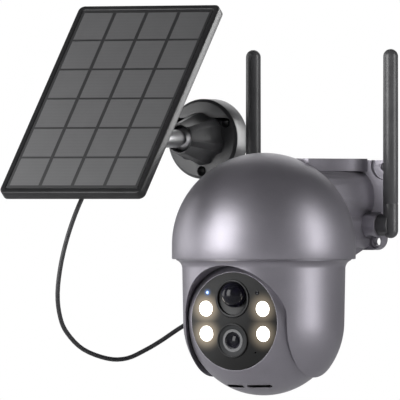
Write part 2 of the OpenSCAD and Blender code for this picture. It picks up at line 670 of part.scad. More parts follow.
module panel_bracket() color([0.1, 0.1, 0.11]) on_panel() {
  difference() {
    union() {
      translate([-19, -14.5, -panel_t - 3]) cube([38, 34, 3]);
      for (s = [-1, 1]) translate([s * (knuckle_half + 2.3) - 2, -8, -hinge_back]) cube([4, 16, hinge_back - panel_t]);
      for (s = [-1, 1]) translate([s * (knuckle_half + 2.3) - 2, 0, -hinge_back]) rotate([0, 90, 0]) cylinder(h = 4, r = 8);
    }
    translate([-20, 0, -hinge_back]) rotate([0, 90, 0]) cylinder(h = 40, r = hinge_r);
  }
}

module hinge_bolt() color([0.6, 0.61, 0.62]) on_panel() {
  translate([-14.5, 0, -hinge_back]) rotate([0, 90, 0]) cylinder(h = 4, r = 5.6, $fn = 6);
  translate([-12, 0, -hinge_back]) rotate([0, 90, 0]) cylinder(h = 27, r = hinge_r);
}

module hinge_knob() color([0.09, 0.09, 0.1]) on_panel() {
  difference() {
    translate([10.5, 0, -hinge_back]) rotate([0, 90, 0]) cylinder(h = 7, r = 9);
    translate([5, 0, -hinge_back]) rotate([0, 90, 0]) cylinder(h = 10, r = hinge_r);
    for (a = [0:60:300]) translate([10, 10.6 * cos(a), -hinge_back + 10.6 * sin(a)]) rotate([0, 90, 0]) cylinder(h = 9, r = 3);
  }
}

// lead
module solar_lead() color([0.12, 0.12, 0.12]) tube(smooth(lead_points, 4), lead_d);

module lead_coil() color([0.12, 0.12, 0.12]) translate(coil_at) {
  rotate([90, 0, 0]) rotate_extrude() translate([coil_mid, 0]) circle(r = coil_thick);
}

module lead_tail() color([0.12, 0.12, 0.12]) tube(smooth(tail_points, 4), lead_d);

module lead_plug() color([0.06, 0.06, 0.06]) translate([plug_x, plug_y, 0]) {
  translate([0, 0, boss_low - 0.2]) cylinder(h = 8.5, r = plug_r);
  translate([0, 0, -38]) cylinder(h = 38 + boss_low, r = 4.8);
  translate([0, 0, -46]) cylinder(h = 8, r1 = 2.6, r2 = 4.2);
}

module tie_mount() color([0.08, 0.08, 0.08]) {
  translate([coil_at[0] - 9, coil_at[1] + coil_thick, coil_at[2] + coil_mid - 8]) cube([18, -coil_at[1] - coil_thick, 16]);
}

module cable_tie() color([0.05, 0.05, 0.05]) translate([coil_at[0], coil_at[1], coil_at[2] + coil_mid]) {
  rotate([0, 90, 0]) difference() {
    translate([0, 0, -2]) cylinder(h = 4, r = coil_thick + 1.3);
    translate([0, 0, -3]) cylinder(h = 6, r = coil_thick + 0.05);
  }
  translate([-2.5, -coil_thick - 4.2, -3]) cube([5, 3.5, 6]);
}

wall_plate();
arm_body();
arm_cover();
hood();
bearing_plate();
main_board();
pan_motor();
battery_upper();
battery_lower();
power_socket();
port_cover();
pan_pinion();
yoke_shell();
yoke_flare();
pan_gear();
arm_plate_left();
arm_plate_right();
tilt_motor();
tilt_pinion();
head_shell();
tilt_shaft_left();
tilt_shaft_right();
shaft_clip();
tilt_gear();
face_plate();
flood_lens_upper_left();
flood_lens_upper_right();
flood_lens_lower_left();
flood_lens_lower_right();
head_board();
motion_ring();
motion_dome();
motion_sensor();
lens_bezel();
lens_barrel();
lens_glass();
status_light();
light_sensor();
speaker();
antenna_left();
antenna_left_pivot();
antenna_right();
antenna_right_pivot();
wall_disc();
lock_nut();
stem();
panel_frame();
cell_backing();
solar_cells();
panel_glass();
junction_box();
panel_bracket();
hinge_bolt();
hinge_knob();
solar_lead();
lead_coil();
lead_tail();
lead_plug();
tie_mount();
cable_tie();
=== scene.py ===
"""Finished model of a wall camera with a battery arm, two antennas and a solar panel on a ball bracket."""

import json
import math

import bpy
from mathutils import Matrix, Vector

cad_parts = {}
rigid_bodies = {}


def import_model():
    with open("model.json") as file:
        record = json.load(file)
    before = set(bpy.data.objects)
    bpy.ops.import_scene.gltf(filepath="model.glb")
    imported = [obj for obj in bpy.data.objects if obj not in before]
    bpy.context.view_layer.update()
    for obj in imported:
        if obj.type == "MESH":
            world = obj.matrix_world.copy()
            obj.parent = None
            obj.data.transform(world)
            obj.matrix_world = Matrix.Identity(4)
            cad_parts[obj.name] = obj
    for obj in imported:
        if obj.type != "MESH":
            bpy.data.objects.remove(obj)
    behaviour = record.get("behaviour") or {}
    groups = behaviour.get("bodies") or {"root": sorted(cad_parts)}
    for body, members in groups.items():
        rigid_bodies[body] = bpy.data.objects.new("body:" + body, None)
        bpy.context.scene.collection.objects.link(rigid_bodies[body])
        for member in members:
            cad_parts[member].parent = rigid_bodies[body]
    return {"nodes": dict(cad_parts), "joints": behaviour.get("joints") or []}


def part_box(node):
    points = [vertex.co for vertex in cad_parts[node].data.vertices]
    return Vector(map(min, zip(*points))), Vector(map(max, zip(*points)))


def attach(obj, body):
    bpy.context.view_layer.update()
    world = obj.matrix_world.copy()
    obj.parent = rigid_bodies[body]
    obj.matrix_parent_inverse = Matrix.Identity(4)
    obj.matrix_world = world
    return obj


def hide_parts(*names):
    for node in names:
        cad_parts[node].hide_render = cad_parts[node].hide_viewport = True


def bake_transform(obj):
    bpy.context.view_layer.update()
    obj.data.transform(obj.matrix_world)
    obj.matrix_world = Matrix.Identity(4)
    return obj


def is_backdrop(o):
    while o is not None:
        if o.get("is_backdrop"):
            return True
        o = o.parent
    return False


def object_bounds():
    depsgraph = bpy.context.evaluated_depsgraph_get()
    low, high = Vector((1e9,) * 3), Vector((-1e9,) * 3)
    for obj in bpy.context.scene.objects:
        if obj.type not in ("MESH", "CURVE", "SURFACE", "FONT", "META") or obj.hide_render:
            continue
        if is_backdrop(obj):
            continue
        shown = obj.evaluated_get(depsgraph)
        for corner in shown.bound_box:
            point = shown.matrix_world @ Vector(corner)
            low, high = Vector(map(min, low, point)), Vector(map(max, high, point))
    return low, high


bl_info = {
    "name": "Solar wall camera",
    "version": (1, 0, 0),
    "blender": (4, 5, 0),
    "location": "3D View > Sidebar > Camera",
    "description": "Builds the casings, window, lamps, panel, bracket and lead of a solar wall camera",
    "category": "Object",
}

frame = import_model()

MM = 0.001
JOINT = {joint["name"]: Vector(joint["pos_m"]) for joint in frame["joints"]}
HEAD_TURN = math.radians(2.4)
PANEL_TURN = math.radians(49.7)
PAN = Matrix.Translation((JOINT["head_pan"].x, JOINT["head_pan"].y, 0))
BALL = Matrix.Translation(JOINT["head_tilt"])
HEAD = BALL @ Matrix.Rotation(HEAD_TURN, 4, "X")
FACE = HEAD @ Matrix.Rotation(math.radians(90), 4, "X")
DISC_AT = Matrix.Translation((JOINT["lock_nut_turn"].x, 0, JOINT["lock_nut_turn"].z))
DISC = DISC_AT @ Matrix.Rotation(math.radians(90), 4, "X")
HINGE = Matrix.Translation(JOINT["panel_tilt"]) @ Matrix.Rotation(PANEL_TURN, 4, "X")
PANEL = HINGE @ Matrix.Translation((0, 0, 43.5 * MM))

# Millimetres: the ball of the head, the window's faces from its centre, and one solar cell.
BALL_R, BALL_HALF = 54.5, 40.0
WINDOW_BACK, WINDOW_FRONT = 39.4, 42.0
CELL_W, CELL_L = 26.4, 27.4
LAMPS = ("upper_left", "upper_right", "lower_left", "lower_right")


def on_face(node):
    """Centre of a part of the face, in millimetres across and up the face."""
    low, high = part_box(node)
    middle = FACE.inverted() @ ((low + high) / 2)
    return middle.x / MM, middle.y / MM


def face_place(across, up):
    """Frame of a part of the face, its Z axis outwards."""
    return FACE @ Matrix.Translation((across * MM, up * MM, 0))


# ---------------------------------------------------------------- modelling


def deselect():
    """Leave edit mode and select nothing."""
    if bpy.context.object and bpy.context.object.mode != "OBJECT":
        bpy.ops.object.mode_set(mode="OBJECT")
    bpy.ops.object.select_all(action="DESELECT")


def take(piece):
    """Make one piece the selected and active one."""
    deselect()
    piece.select_set(True)
    bpy.context.view_layer.objects.active = piece
    return piece


def new_piece(name):
    """Name the object that an operator has just added."""
    piece = bpy.context.object
    piece.name = name
    piece.data.name = name
    return piece


def place(piece, matrix):
    """Put a piece where it belongs, with its place in its mesh."""
    take(piece)
    piece.matrix_world = matrix @ piece.matrix_world
    bpy.ops.object.transform_apply(location=True, rotation=True, scale=True)
    return piece


def arc(across, up, radius, start, end, steps):
    """Points (across, up) of an arc, its angles in degrees."""
    turns = [math.radians(start + (end - start) * i / steps) for i in range(steps + 1)]
    return [(across + radius * math.cos(t), up + radius * math.sin(t)) for t in turns]


def turned(name, stations, matrix=None, segments=96):
    """Turn an outline of (radius, height) stations, in millimetres, about the Z axis."""
    deselect()
    rings = [(max(radius, 0.004) * MM, height * MM) for radius, height in stations]
    radius, height = rings[0]
    bpy.ops.mesh.primitive_circle_add(vertices=segments, radius=radius, fill_type="NOTHING", location=(0, 0, height))
    piece = new_piece(name)
    bpy.ops.object.mode_set(mode="EDIT")
    bpy.ops.mesh.select_all(action="SELECT")
    for wider, higher in rings[1:]:
        bpy.ops.mesh.extrude_region_move(TRANSFORM_OT_translate={"value": (0, 0, higher - height)})
        bpy.ops.transform.resize(value=(wider / radius, wider / radius, 1), center_override=(0, 0, higher))
        radius, height = wider, higher
    bpy.ops.mesh.select_all(action="SELECT")
    bpy.ops.mesh.remove_doubles(threshold=0.012 * MM)
    bpy.ops.mesh.normals_make_consistent(inside=False)
    bpy.ops.object.mode_set(mode="OBJECT")
    return place(piece, matrix or Matrix.Identity(4))


def block(name, low, high, matrix=None):
    """Box between two corners, in millimetres."""
    deselect()
    size = [(b - a) * MM for a, b in zip(low, high)]
    middle = [(a + b) / 2 * MM for a, b in zip(low, high)]
    bpy.ops.mesh.primitive_cube_add(size=1, location=middle, scale=size)
    return place(new_piece(name), matrix or Matrix.Identity(4))


def rod(name, radius, low, high, matrix=None, segments=64):
    """Round bar along Z between two heights, in millimetres."""
    return turned(name, [(0, low), (radius, low), (radius, high), (0, high)], matrix, segments)


def cut(piece, tool, operation="DIFFERENCE"):
    """Cut a piece with a tool, or join or trim it, and put the tool away."""
    take(piece)
    change = piece.modifiers.new("Cut", "BOOLEAN")
    change.operation = operation
    change.solver = "EXACT"
    change.object = tool
    bpy.ops.object.modifier_apply(modifier=change.name)
    bpy.data.objects.remove(tool)
    return piece


def smooth(piece, angle=32):
    """Shade smooth across edges flatter than an angle."""
    take(piece)
    bpy.ops.object.shade_smooth_by_angle(angle=math.radians(angle), keep_sharp_edges=False)
    return piece


def soften(piece, width, segments=2):
    """Round the edges sharper than 30 degrees, by a width in millimetres."""
    take(piece)
    change = piece.modifiers.new("Round edges", "BEVEL")
    change.width = width * MM
    change.segments = segments
    change.limit_method = "ANGLE"
    change.angle_limit = math.radians(30)
    change.use_clamp_overlap = True
    bpy.ops.object.modifier_apply(modifier=change.name)
    return smooth(piece, 40)


def clean(piece, threshold=0.004):
    """Merge doubles, dissolve flat areas and turn the faces outwards."""
    take(piece)
    bpy.ops.object.mode_set(mode="EDIT")
    bpy.ops.mesh.select_all(action="SELECT")
    bpy.ops.mesh.remove_doubles(threshold=threshold * MM)
    bpy.ops.mesh.dissolve_limited(angle_limit=math.radians(0.8))
    bpy.ops.mesh.normals_make_consistent(inside=False)
    bpy.ops.object.mode_set(mode="OBJECT")
    return piece


def cast(name, node, width, segments):
    """Copy of a CAD solid, cleaned up and with its edges rounded."""
    take(frame["nodes"][node])
    bpy.ops.object.duplicate()
    piece = new_piece(name)
    bpy.ops.object.parent_clear(type="CLEAR_KEEP_TRANSFORM")
    for key in list(piece.keys()):
        del piece[key]
    piece.data.materials.clear()
    place(piece, Matrix.Identity(4))
    return soften(clean(piece), width, segments)


def group_for(name):
    """Collection of that name, for the pieces that one light reaches."""
    return bpy.data.collections.get(name) or bpy.data.collections.new(name)


def finish(piece, material, body, slot, *nodes):
    """Give a piece its material, the body it rides on and the CAD nodes it stands for."""
    if body in ("panel", "stem", "nut") or "wall_disc" in nodes:
        group_for("Panel and bracket").objects.link(piece)
    if {"wall_plate", "arm_body", "arm_cover", "stem"} & set(nodes):
        group_for("Arm").objects.link(piece)
    piece.data.materials.clear()
    piece.data.materials.append(material)
    if body:
        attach(piece, body)
    if nodes:
        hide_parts(*nodes)
    return piece


# ---------------------------------------------------------------- materials


class Value:
    """A socket on which arithmetic adds Math nodes."""

    def __init__(self, look, socket):
        self.look = look
        self.socket = socket

    def maths(self, operation, *values):
        return self.look.node("ShaderNodeMath", {"operation": operation}, dict(enumerate(values)))

    def __add__(self, other):
        return self.maths("ADD", self, other)

    def __radd__(self, other):
        return self.maths("ADD", other, self)

    def __sub__(self, other):
        return self.maths("SUBTRACT", self, other)

    def __rsub__(self, other):
        return self.maths("SUBTRACT", other, self)

    def __mul__(self, other):
        return self.maths("MULTIPLY", self, other)

    def __rmul__(self, other):
        return self.maths("MULTIPLY", other, self)

    def __truediv__(self, other):
        return self.maths("DIVIDE", self, other)

    def __lt__(self, other):
        return self.maths("LESS_THAN", self, other)

    def __gt__(self, other):
        return self.maths("GREATER_THAN", self, other)

    def __abs__(self):
        return self.maths("ABSOLUTE", self)

    def wrap(self, length):
        """Distance from the nearest whole number of lengths."""
        return self.maths("PINGPONG", self, length / 2)

    def most(self, other):
        """The greater of two values."""
        return self.maths("MAXIMUM", self, other)

    def power(self, other):
        return self.maths("POWER", self, other)

    def fade(self, low, high):
        """Goes smoothly from 0 at low to 1 at high."""
        span = {"Value": self, "From Min": low, "From Max": high}
        return self.look.node("ShaderNodeMapRange", {"interpolation_type": "SMOOTHSTEP"}, span)


class Look:
    """A material on a Principled shader; constants are set on its own sockets."""

    def __init__(self, name, **constants):
        self.material = bpy.data.materials.new(name)
        self.material.use_nodes = True
        self.tree = self.material.node_tree
        self.shader = next(n for n in self.tree.nodes if n.type == "BSDF_PRINCIPLED")
        for socket, value in constants.items():
            self.shader.inputs[socket.replace("_", " ")].default_value = value

    def node(self, kind, settings=None, inputs=None, output=0):
        made = self.tree.nodes.new(kind)
        for setting, value in (settings or {}).items():
            if setting == "stops":
                self.ramp(made, value)
            else:
                setattr(made, setting, value)
        for socket, value in (inputs or {}).items():
            if isinstance(value, Value):
                self.tree.links.new(value.socket, made.inputs[socket])
            else:
                made.inputs[socket].default_value = value
        return Value(self, made.outputs[output])

    def ramp(self, made, stops):
        band = made.color_ramp
        while len(band.elements) < len(stops):
            band.elements.new(0.5)
        for element, (at, colour) in zip(band.elements, stops):
            element.position = at
            element.color = (*colour, 1)

    def where(self, matrix=None, scale=1000):
        """Object coordinates in the frame of a matrix, in millimetres by default."""
        seen = self.node("ShaderNodeTexCoord", output=3)
        if matrix is not None:
            seen = self.node(
                "ShaderNodeMapping",
                {"vector_type": "TEXTURE"},
                {"Vector": seen, "Location": matrix.to_translation(), "Rotation": matrix.to_euler()},
            )
        return self.node("ShaderNodeVectorMath", {"operation": "SCALE"}, {0: seen, "Scale": scale})

    def parts(self, vector):
        """The three numbers of a vector."""
        split = self.node("ShaderNodeSeparateXYZ", inputs={0: vector})
        return [Value(self, socket) for socket in split.socket.node.outputs]

    def noise(self, at, scale, detail=2.0, roughness=0.5, stretch=None):
        """Cloudy noise, its scale in waves a millimetre."""
        if stretch:
            at = self.node("ShaderNodeVectorMath", {"operation": "MULTIPLY"}, {0: at, 1: stretch})
        return self.node(
            "ShaderNodeTexNoise", {}, {"Vector": at, "Scale": scale, "Detail": detail, "Roughness": roughness}
        )

    def away(self, at, node):
        """Distance from a part of the face's outer side, in millimetres."""
        x, z = on_face(node)
        return self.node("ShaderNodeVectorMath", {"operation": "DISTANCE"}, {0: at, 1: (x, z, WINDOW_FRONT)}, 1)

    def blend(self, factor, first, second):
        """Colour that goes from the first to the second."""
        colours = [c if isinstance(c, Value) else (*c, 1) for c in (first, second)]
        return self.node("ShaderNodeMix", {"data_type": "RGBA"}, {0: factor, 6: colours[0], 7: colours[1]}, 2)

    def feed(self, **values):
        for socket, value in values.items():
            self.tree.links.new(value.socket, self.shader.inputs[socket.replace("_", " ")])
        return self

    def bump(self, height, strength, distance=0.0001):
        bump = self.node("ShaderNodeBump", inputs={"Height": height, "Strength": strength, "Distance": distance})
        return self.feed(Normal=bump)


def spread(colour, by):
    """A colour made lighter or darker."""
    return tuple(min(1, c * by) for c in colour)


def paint(name, colour, roughness=0.44, metallic=0.8, coat=0.2):
    """Satin metallic paint with fine flakes and faint handling marks."""
    look = Look(name, Metallic=metallic, Coat_Weight=coat, Coat_Roughness=0.38)
    at = look.where()
    flakes = look.noise(at, 3.2, 1, 0.7)
    clouds = look.noise(at, 0.045, 3)
    marks = look.noise(at, 0.22, 4, 0.62, (1, 1, 0.25))
    tone = look.blend(flakes.fade(0.3, 0.72), spread(colour, 0.9), spread(colour, 1.1))
    shade = look.blend(clouds.fade(0.35, 0.7), spread(colour, 0.94), spread(colour, 1.06))
    look.feed(Base_Color=look.blend(0.5, tone, shade), Roughness=roughness - 0.03 + 0.07 * marks)
    look.bump(flakes * 0.6 + marks * 0.5, 0.05, 0.00008)
    return look.material


def plastic(name, colour, roughness=0.5, grain=0.12, pitch=1.6, specular=0.5):
    """Moulded plastic with a fine grain and slightly rubbed patches."""
    look = Look(name, Specular_IOR_Level=specular)
    at = look.where()
    pores = look.noise(at, pitch, 3, 0.6)
    patches = look.noise(at, 0.07, 3)
    look.feed(
        Base_Color=look.blend(patches.fade(0.3, 0.75), spread(colour, 0.86), spread(colour, 1.18)),
        Roughness=roughness - 0.06 + 0.14 * pores,
    )
    look.bump(pores, grain, 0.0001)
    return look.material


def steel(name, colour=(0.62, 0.62, 0.64), roughness=0.3):
    """Turned or brushed metal."""
    look = Look(name, Metallic=1.0)
    at = look.where()
    lines = look.noise(at, 0.5, 4, 0.6, (0.15, 0.15, 9))
    stains = look.noise(at, 0.12, 3)
    look.feed(
        Base_Color=look.blend(stains, spread(colour, 0.82), spread(colour, 1.08)),
        Roughness=roughness - 0.08 + 0.2 * lines,
    )
    look.bump(lines, 0.12, 0.00005)
    return look.material


def circuit(name):
    """Green lacquered board with copper runs and pads."""
    look = Look(name, Coat_Weight=0.3)
    at = look.where()
    across, _, up = look.parts(at)
    runs = (across.wrap(2.5) < 0.28).most(up.wrap(3.4) < 0.24)
    pads = look.node("ShaderNodeTexVoronoi", {}, {"Vector": at, "Scale": 0.32}) < 0.22
    board = look.blend(runs, (0.012, 0.09, 0.035), (0.03, 0.16, 0.06))
    look.feed(Base_Color=look.blend(pads, board, (0.55, 0.42, 0.16)), Roughness=0.42 - 0.16 * pads)
    look.bump(runs + pads, 0.25, 0.0001)
    return look.material


def wrap_film(name):
    """Shrink wrap of a battery: blue with a darker band and faint wrinkles."""
    look = Look(name, Coat_Weight=0.4, Coat_Roughness=0.15)
    at = look.where()
    band = abs(look.parts(at)[0]) < 24
    folds = look.noise(at, 0.3, 3, 0.6, (3, 0.4, 0.4))
    look.feed(Base_Color=look.blend(band, (0.02, 0.04, 0.09), (0.03, 0.13, 0.36)), Roughness=0.3 + 0.12 * folds)
    look.bump(folds, 0.3, 0.0003)
    return look.material


def face_glass(name, dark, light, warm):
    """Tinted window of the face: a painted reflection lightens its upper left, and a painted glow warms it round the
    lamps and the status light behind it.
    """
    look = Look(name, Emission_Strength=1.0, Specular_IOR_Level=0.06)
    at = look.where(FACE)
    across, up, _ = look.parts(at)
    # Painted reflection: the base colour goes from the light colour at the upper left to the dark tint at the lower
    # right.
    painted_reflection = (across * 0.62 - up * 0.5 + look.noise(at, 0.05, 2) * 8).fade(-30, 30)
    dust = look.noise(at, 0.9, 3, 0.6)
    painted_glow = None
    # Painted glow: warm emission on the window that fades with distance from each lamp.
    for lamp, strength in zip(LAMPS, (1.0, 0.62, 0.95, 0.6)):
        near = strength * (1 - look.away(at, "flood_lens_" + lamp).fade(4.2, 15.0)).power(1.6)
        painted_glow = painted_glow.most(near) if painted_glow else near
    # Painted glow: blue emission on the window round the status light.
    painted_halo = (1 - look.away(at, "status_light").fade(0.8, 4.2)).power(2.0)
    lit = look.blend(painted_glow, (0, 0, 0), warm)
    look.feed(
        Base_Color=look.blend(painted_reflection, light, dark),
        Roughness=0.3 + 0.1 * dust,
        Emission_Color=look.blend(painted_halo * 0.8, lit, (0.06, 0.14, 0.34)),
    )
    look.bump(dust, 0.04, 0.00006)
    return look.material


def lamp_lens(name, strength):
    """Frosted lens lit from behind."""
    look = Look(name, Emission_Strength=strength, Coat_Weight=0.5)
    at = look.where()
    frost = look.noise(at, 1.4, 3, 0.6)
    look.feed(
        Base_Color=look.blend(frost, (0.92, 0.86, 0.74), (1.0, 0.96, 0.88)),
        Emission_Color=look.blend(frost, (1.0, 0.93, 0.8), (1.0, 0.98, 0.92)),
        Roughness=0.35 + 0.15 * frost,
    )
    look.bump(frost, 0.2, 0.0001)
    return look.material


def status_lens(name):
    """Small blue light with a pale middle."""
    look = Look(name, Emission_Strength=1.3)
    at = look.where(FACE)
    away = look.away(at, "status_light").fade(0.2, 1.2)
    look.feed(
        Base_Color=look.blend(away, (0.8, 0.88, 1.0), (0.15, 0.25, 0.9)),
        Emission_Color=look.blend(away, (0.75, 0.88, 1.0), (0.1, 0.26, 0.6)),
        Roughness=0.2 + 0.1 * look.noise(at, 2.0),
    )
    return look.material


def black_glass(name, tint=(0.006, 0.006, 0.009)):
    """Polished black optic with a faint coating bloom."""
    look = Look(name, Specular_IOR_Level=0.22)
    at = look.where()
    bloom = look.noise(at, 0.11, 2)
    look.feed(
        Base_Color=look.blend(bloom.fade(0.45, 0.8), tint, (0.008, 0.006, 0.016)),
        Roughness=0.1 + 0.08 * look.noise(at, 0.8, 3),
    )
    return look.material


def cell_film(name, cell, grid):
    """Matt cover over rows of solar cells with their fine fingers and pale grid gaps."""
    look = Look(name, Coat_Weight=0.15, Coat_Roughness=0.4, Specular_IOR_Level=0.35)
    at = look.where(PANEL)
    across, along, _ = look.parts(at)
    gaps = (across.wrap(CELL_W) < 1.4).most(along.wrap(CELL_L) < 0.85)
    border = (abs(across) > 2 * CELL_W - 1.4).most(abs(along) > 3 * CELL_L - 1.6)
    lines = gaps.most(border)
    fingers = (along.wrap(2.8) / 1.4).fade(0.1, 0.95)
    cloud = look.noise(at, 0.05, 3)
    streak = look.noise(at, 0.4, 3, 0.55, (0.06, 1.6, 1))
    tone = look.blend(0.5 * fingers + 0.5 * streak, spread(cell, 0.93), spread(cell, 1.08))
    shade = look.blend(cloud.fade(0.3, 0.75), spread(cell, 0.95), spread(cell, 1.07))
    face = look.blend(0.4, tone, shade)
    look.feed(Base_Color=look.blend(lines, face, grid), Roughness=0.5 + 0.12 * streak)
    look.bump(fingers * 0.5 + look.noise(at, 1.8, 3, 0.6), 0.06, 0.0001)
    return look.material


def jacket(name, colour):
    """Rubbery cord jacket with fine pores and scuffs."""
    look = Look(name, Specular_IOR_Level=0.45)
    at = look.where()
    scuffs = look.noise(at, 0.35, 4, 0.6)
    pores = look.noise(at, 2.2, 2)
    look.feed(
        Base_Color=look.blend(scuffs.fade(0.35, 0.75), spread(colour, 0.85), spread(colour, 1.35)),
        Roughness=0.44 + 0.16 * pores,
    )
    look.bump(pores, 0.12, 0.0001)
    return look.material


def floor_paper(name, colour):
    """Pale studio paper with a faint tooth."""
    look = Look(name, Specular_IOR_Level=0.2)
    at = look.where()
    fibres = look.noise(at, 0.3, 4, 0.6)
    look.feed(Base_Color=look.blend(fibres, spread(colour, 0.985), colour), Roughness=0.8 + 0.1 * fibres)
    return look.material


LOOKS = {}


def look(name):
    """The finish of that name, made the first time it is asked for."""
    if name not in LOOKS:
        colours = bpy.context.scene.solar_camera
        body, head, dark, black = (tuple(c) for c in (colours.body, colours.head, colours.dark, colours.black))
        makers = {
            "body paint": lambda: paint(name, body),
            "head paint": lambda: paint(name, head, 0.42),
            "dark plastic": lambda: plastic(name, dark, 0.42, 0.08),
            "black plastic": lambda: plastic(name, black, 0.36, 0.14),
            "antenna plastic": lambda: plastic(name, spread(dark, 0.85), 0.36, 0.02),
            "frame plastic": lambda: plastic(name, spread(dark, 0.24), 0.36, 0.05, specular=0.3),
            "gear plastic": lambda: plastic(name, (0.62, 0.6, 0.52), 0.45, 0.05),
            "soft rubber": lambda: plastic(name, (0.02, 0.02, 0.021), 0.62, 0.2, 1.2, 0.4),
            # The window's dark tint, the light colour of its painted reflection, and the warm colour of its painted
            # glow round the lamps.
            "face window": lambda: face_glass(name, (0.004,) * 3, (0.042,) * 3, (0.34, 0.28, 0.2)),
            "bezel black": lambda: plastic(name, (0.011, 0.011, 0.0115), 0.3, 0.03, specular=0.18),
            "lamp lens": lambda: lamp_lens(name, colours.lamp_strength),
            "status light": lambda: status_lens(name),
            "black optic": lambda: black_glass(name),
            "lens metal": lambda: plastic(name, (0.03, 0.031, 0.032), 0.5, 0.04, specular=0.16),
            "stem metal": lambda: steel(name, (0.5, 0.5, 0.51), 0.36),
            "bright steel": lambda: steel(name),
            "circuit board": lambda: circuit(name),
            "battery wrap": lambda: wrap_film(name),
            "cell film": lambda: cell_film(name, tuple(colours.cell), tuple(colours.grid)),
            "cord jacket": lambda: jacket(name, (0.028, 0.028, 0.03)),
            "floor paper": lambda: floor_paper(name, (0.78, 0.78, 0.79)),
        }
        LOOKS[name] = makers[name]()
    return LOOKS[name]


def repaint(**nodes):
    """Give carried-over CAD nodes their materials."""
    for node, name in nodes.items():
        slots = frame["nodes"][node].material_slots
        for place_for in slots:
            place_for.material = look(name)
        if not slots:
            frame["nodes"][node].data.materials.append(look(name))


# ---------------------------------------------------------------- cords


def through(points, steps=4):
    """Smooth curve through points, with the same steps as the solid lead."""
    ends = [points[0] * 2 - points[1], *points, points[-1] * 2 - points[-2]]
    line = []
    for i in range(1, len(ends) - 2):
        a, b, c, d = ends[i - 1 : i + 3]
        for step in range(steps):
            t = step / steps
            bow = (2 * a - 5 * b + 4 * c - d) * t * t + (3 * b - a - 3 * c + d) * t**3
            line.append(0.5 * (2 * b + (c - a) * t + bow))
    return [*line, points[-1].copy()]


def measure(line):
    """Length along a line of points."""
    return sum((b - a).length for a, b in zip(line, line[1:]))


def cord_tube(name, line, diameter):
    """Round cord along a line of points in metres."""
    curve = bpy.data.curves.new(name, "CURVE")
    curve.dimensions = "3D"
    curve.bevel_depth = diameter / 2
    curve.bevel_resolution = 4
    curve.use_fill_caps = True
    spline = curve.splines.new("POLY")
    spline.points.add(len(line) - 1)
    for point, at in zip(spline.points, line):
        point.co = (*at, 1)
    piece = bpy.data.objects.new(name, curve)
    bpy.context.scene.collection.objects.link(piece)
    take(piece)
    bpy.ops.object.convert(target="MESH")
    piece = bpy.context.object
    clean(piece, 0.001)
    return smooth(piece, 50)


def wound(centre, radius, pitch, start, end, rows=(3, 4, 5, 4, 3), steps=24):
    """Turns laid beside and on each other round a horizontal axis, from one angle to another."""
    seats = []
    for row, count in enumerate(rows):
        line = [((i - (count - 1) / 2) * pitch, (row - 2) * pitch * math.sqrt(3) / 2) for i in range(count)]
        seats += line if row % 2 else line[::-1]
    part = ((end - start) % 360) / 360
    line = []
    for step in range((len(seats) - 1) * steps + round(part * steps) + 1):
        lap, share = step // steps, step % steps / steps
        here, there = Vector(seats[lap]), Vector(seats[min(lap + 1, len(seats) - 1)])
        move = min(1, max(0, (share - 0.45) / 0.17))
        move = move * move * (3 - 2 * move)
        swell = 1 + 0.2 * math.sin(math.pi * min(1, max(0, (share - 0.4) / 0.27)))
        across, along = (here.lerp(there, move) * swell)[:]
        angle = math.radians(start) + 2 * math.pi * share
        out = (radius + across) * MM
        line.append(centre + Vector((out * math.cos(angle), along * MM, out * math.sin(angle))))
    return line


# ---------------------------------------------------------------- pieces


class SolarCameraSettings(bpy.types.PropertyGroup):
    """Sizes and colours that a user would change."""

    body: bpy.props.FloatVectorProperty(
        name="Body colour", description="Paint of the arm, hood and yoke", default=(0.262, 0.25, 0.28), subtype="COLOR"
    )
    head: bpy.props.FloatVectorProperty(
        name="Head colour", description="Paint of the ball-shaped head", default=(0.262, 0.25, 0.28), subtype="COLOR"
    )
    dark: bpy.props.FloatVectorProperty(
        name="Dark plastic", description="Antennas and panel frame", default=(0.075, 0.075, 0.078), subtype="COLOR"
    )
    black: bpy.props.FloatVectorProperty(
        name="Black plastic", description="Disc, nut and small fittings", default=(0.04, 0.04, 0.042), subtype="COLOR"
    )
    cell: bpy.props.FloatVectorProperty(
        name="Cell colour", description="Solar cells under their cover", default=(0.1, 0.1, 0.102), subtype="COLOR"
    )
    grid: bpy.props.FloatVectorProperty(
        name="Cell gaps", description="Lines between the solar cells", default=(0.024, 0.024, 0.025), subtype="COLOR"
    )
    lamp_strength: bpy.props.FloatProperty(
        name="Lamp light", description="Brightness of the four lamps", default=5.0, min=0, max=50
    )
    lead_width: bpy.props.FloatProperty(
        name="Lead thickness",
        description="Diameter of the panel's lead",
        default=3.2 * MM,
        unit="LENGTH",
        subtype="DISTANCE",
    )
    key_light: bpy.props.FloatProperty(
        name="Side lights", description="Power of the two tall side lights", default=14.0, min=0, unit="POWER"
    )


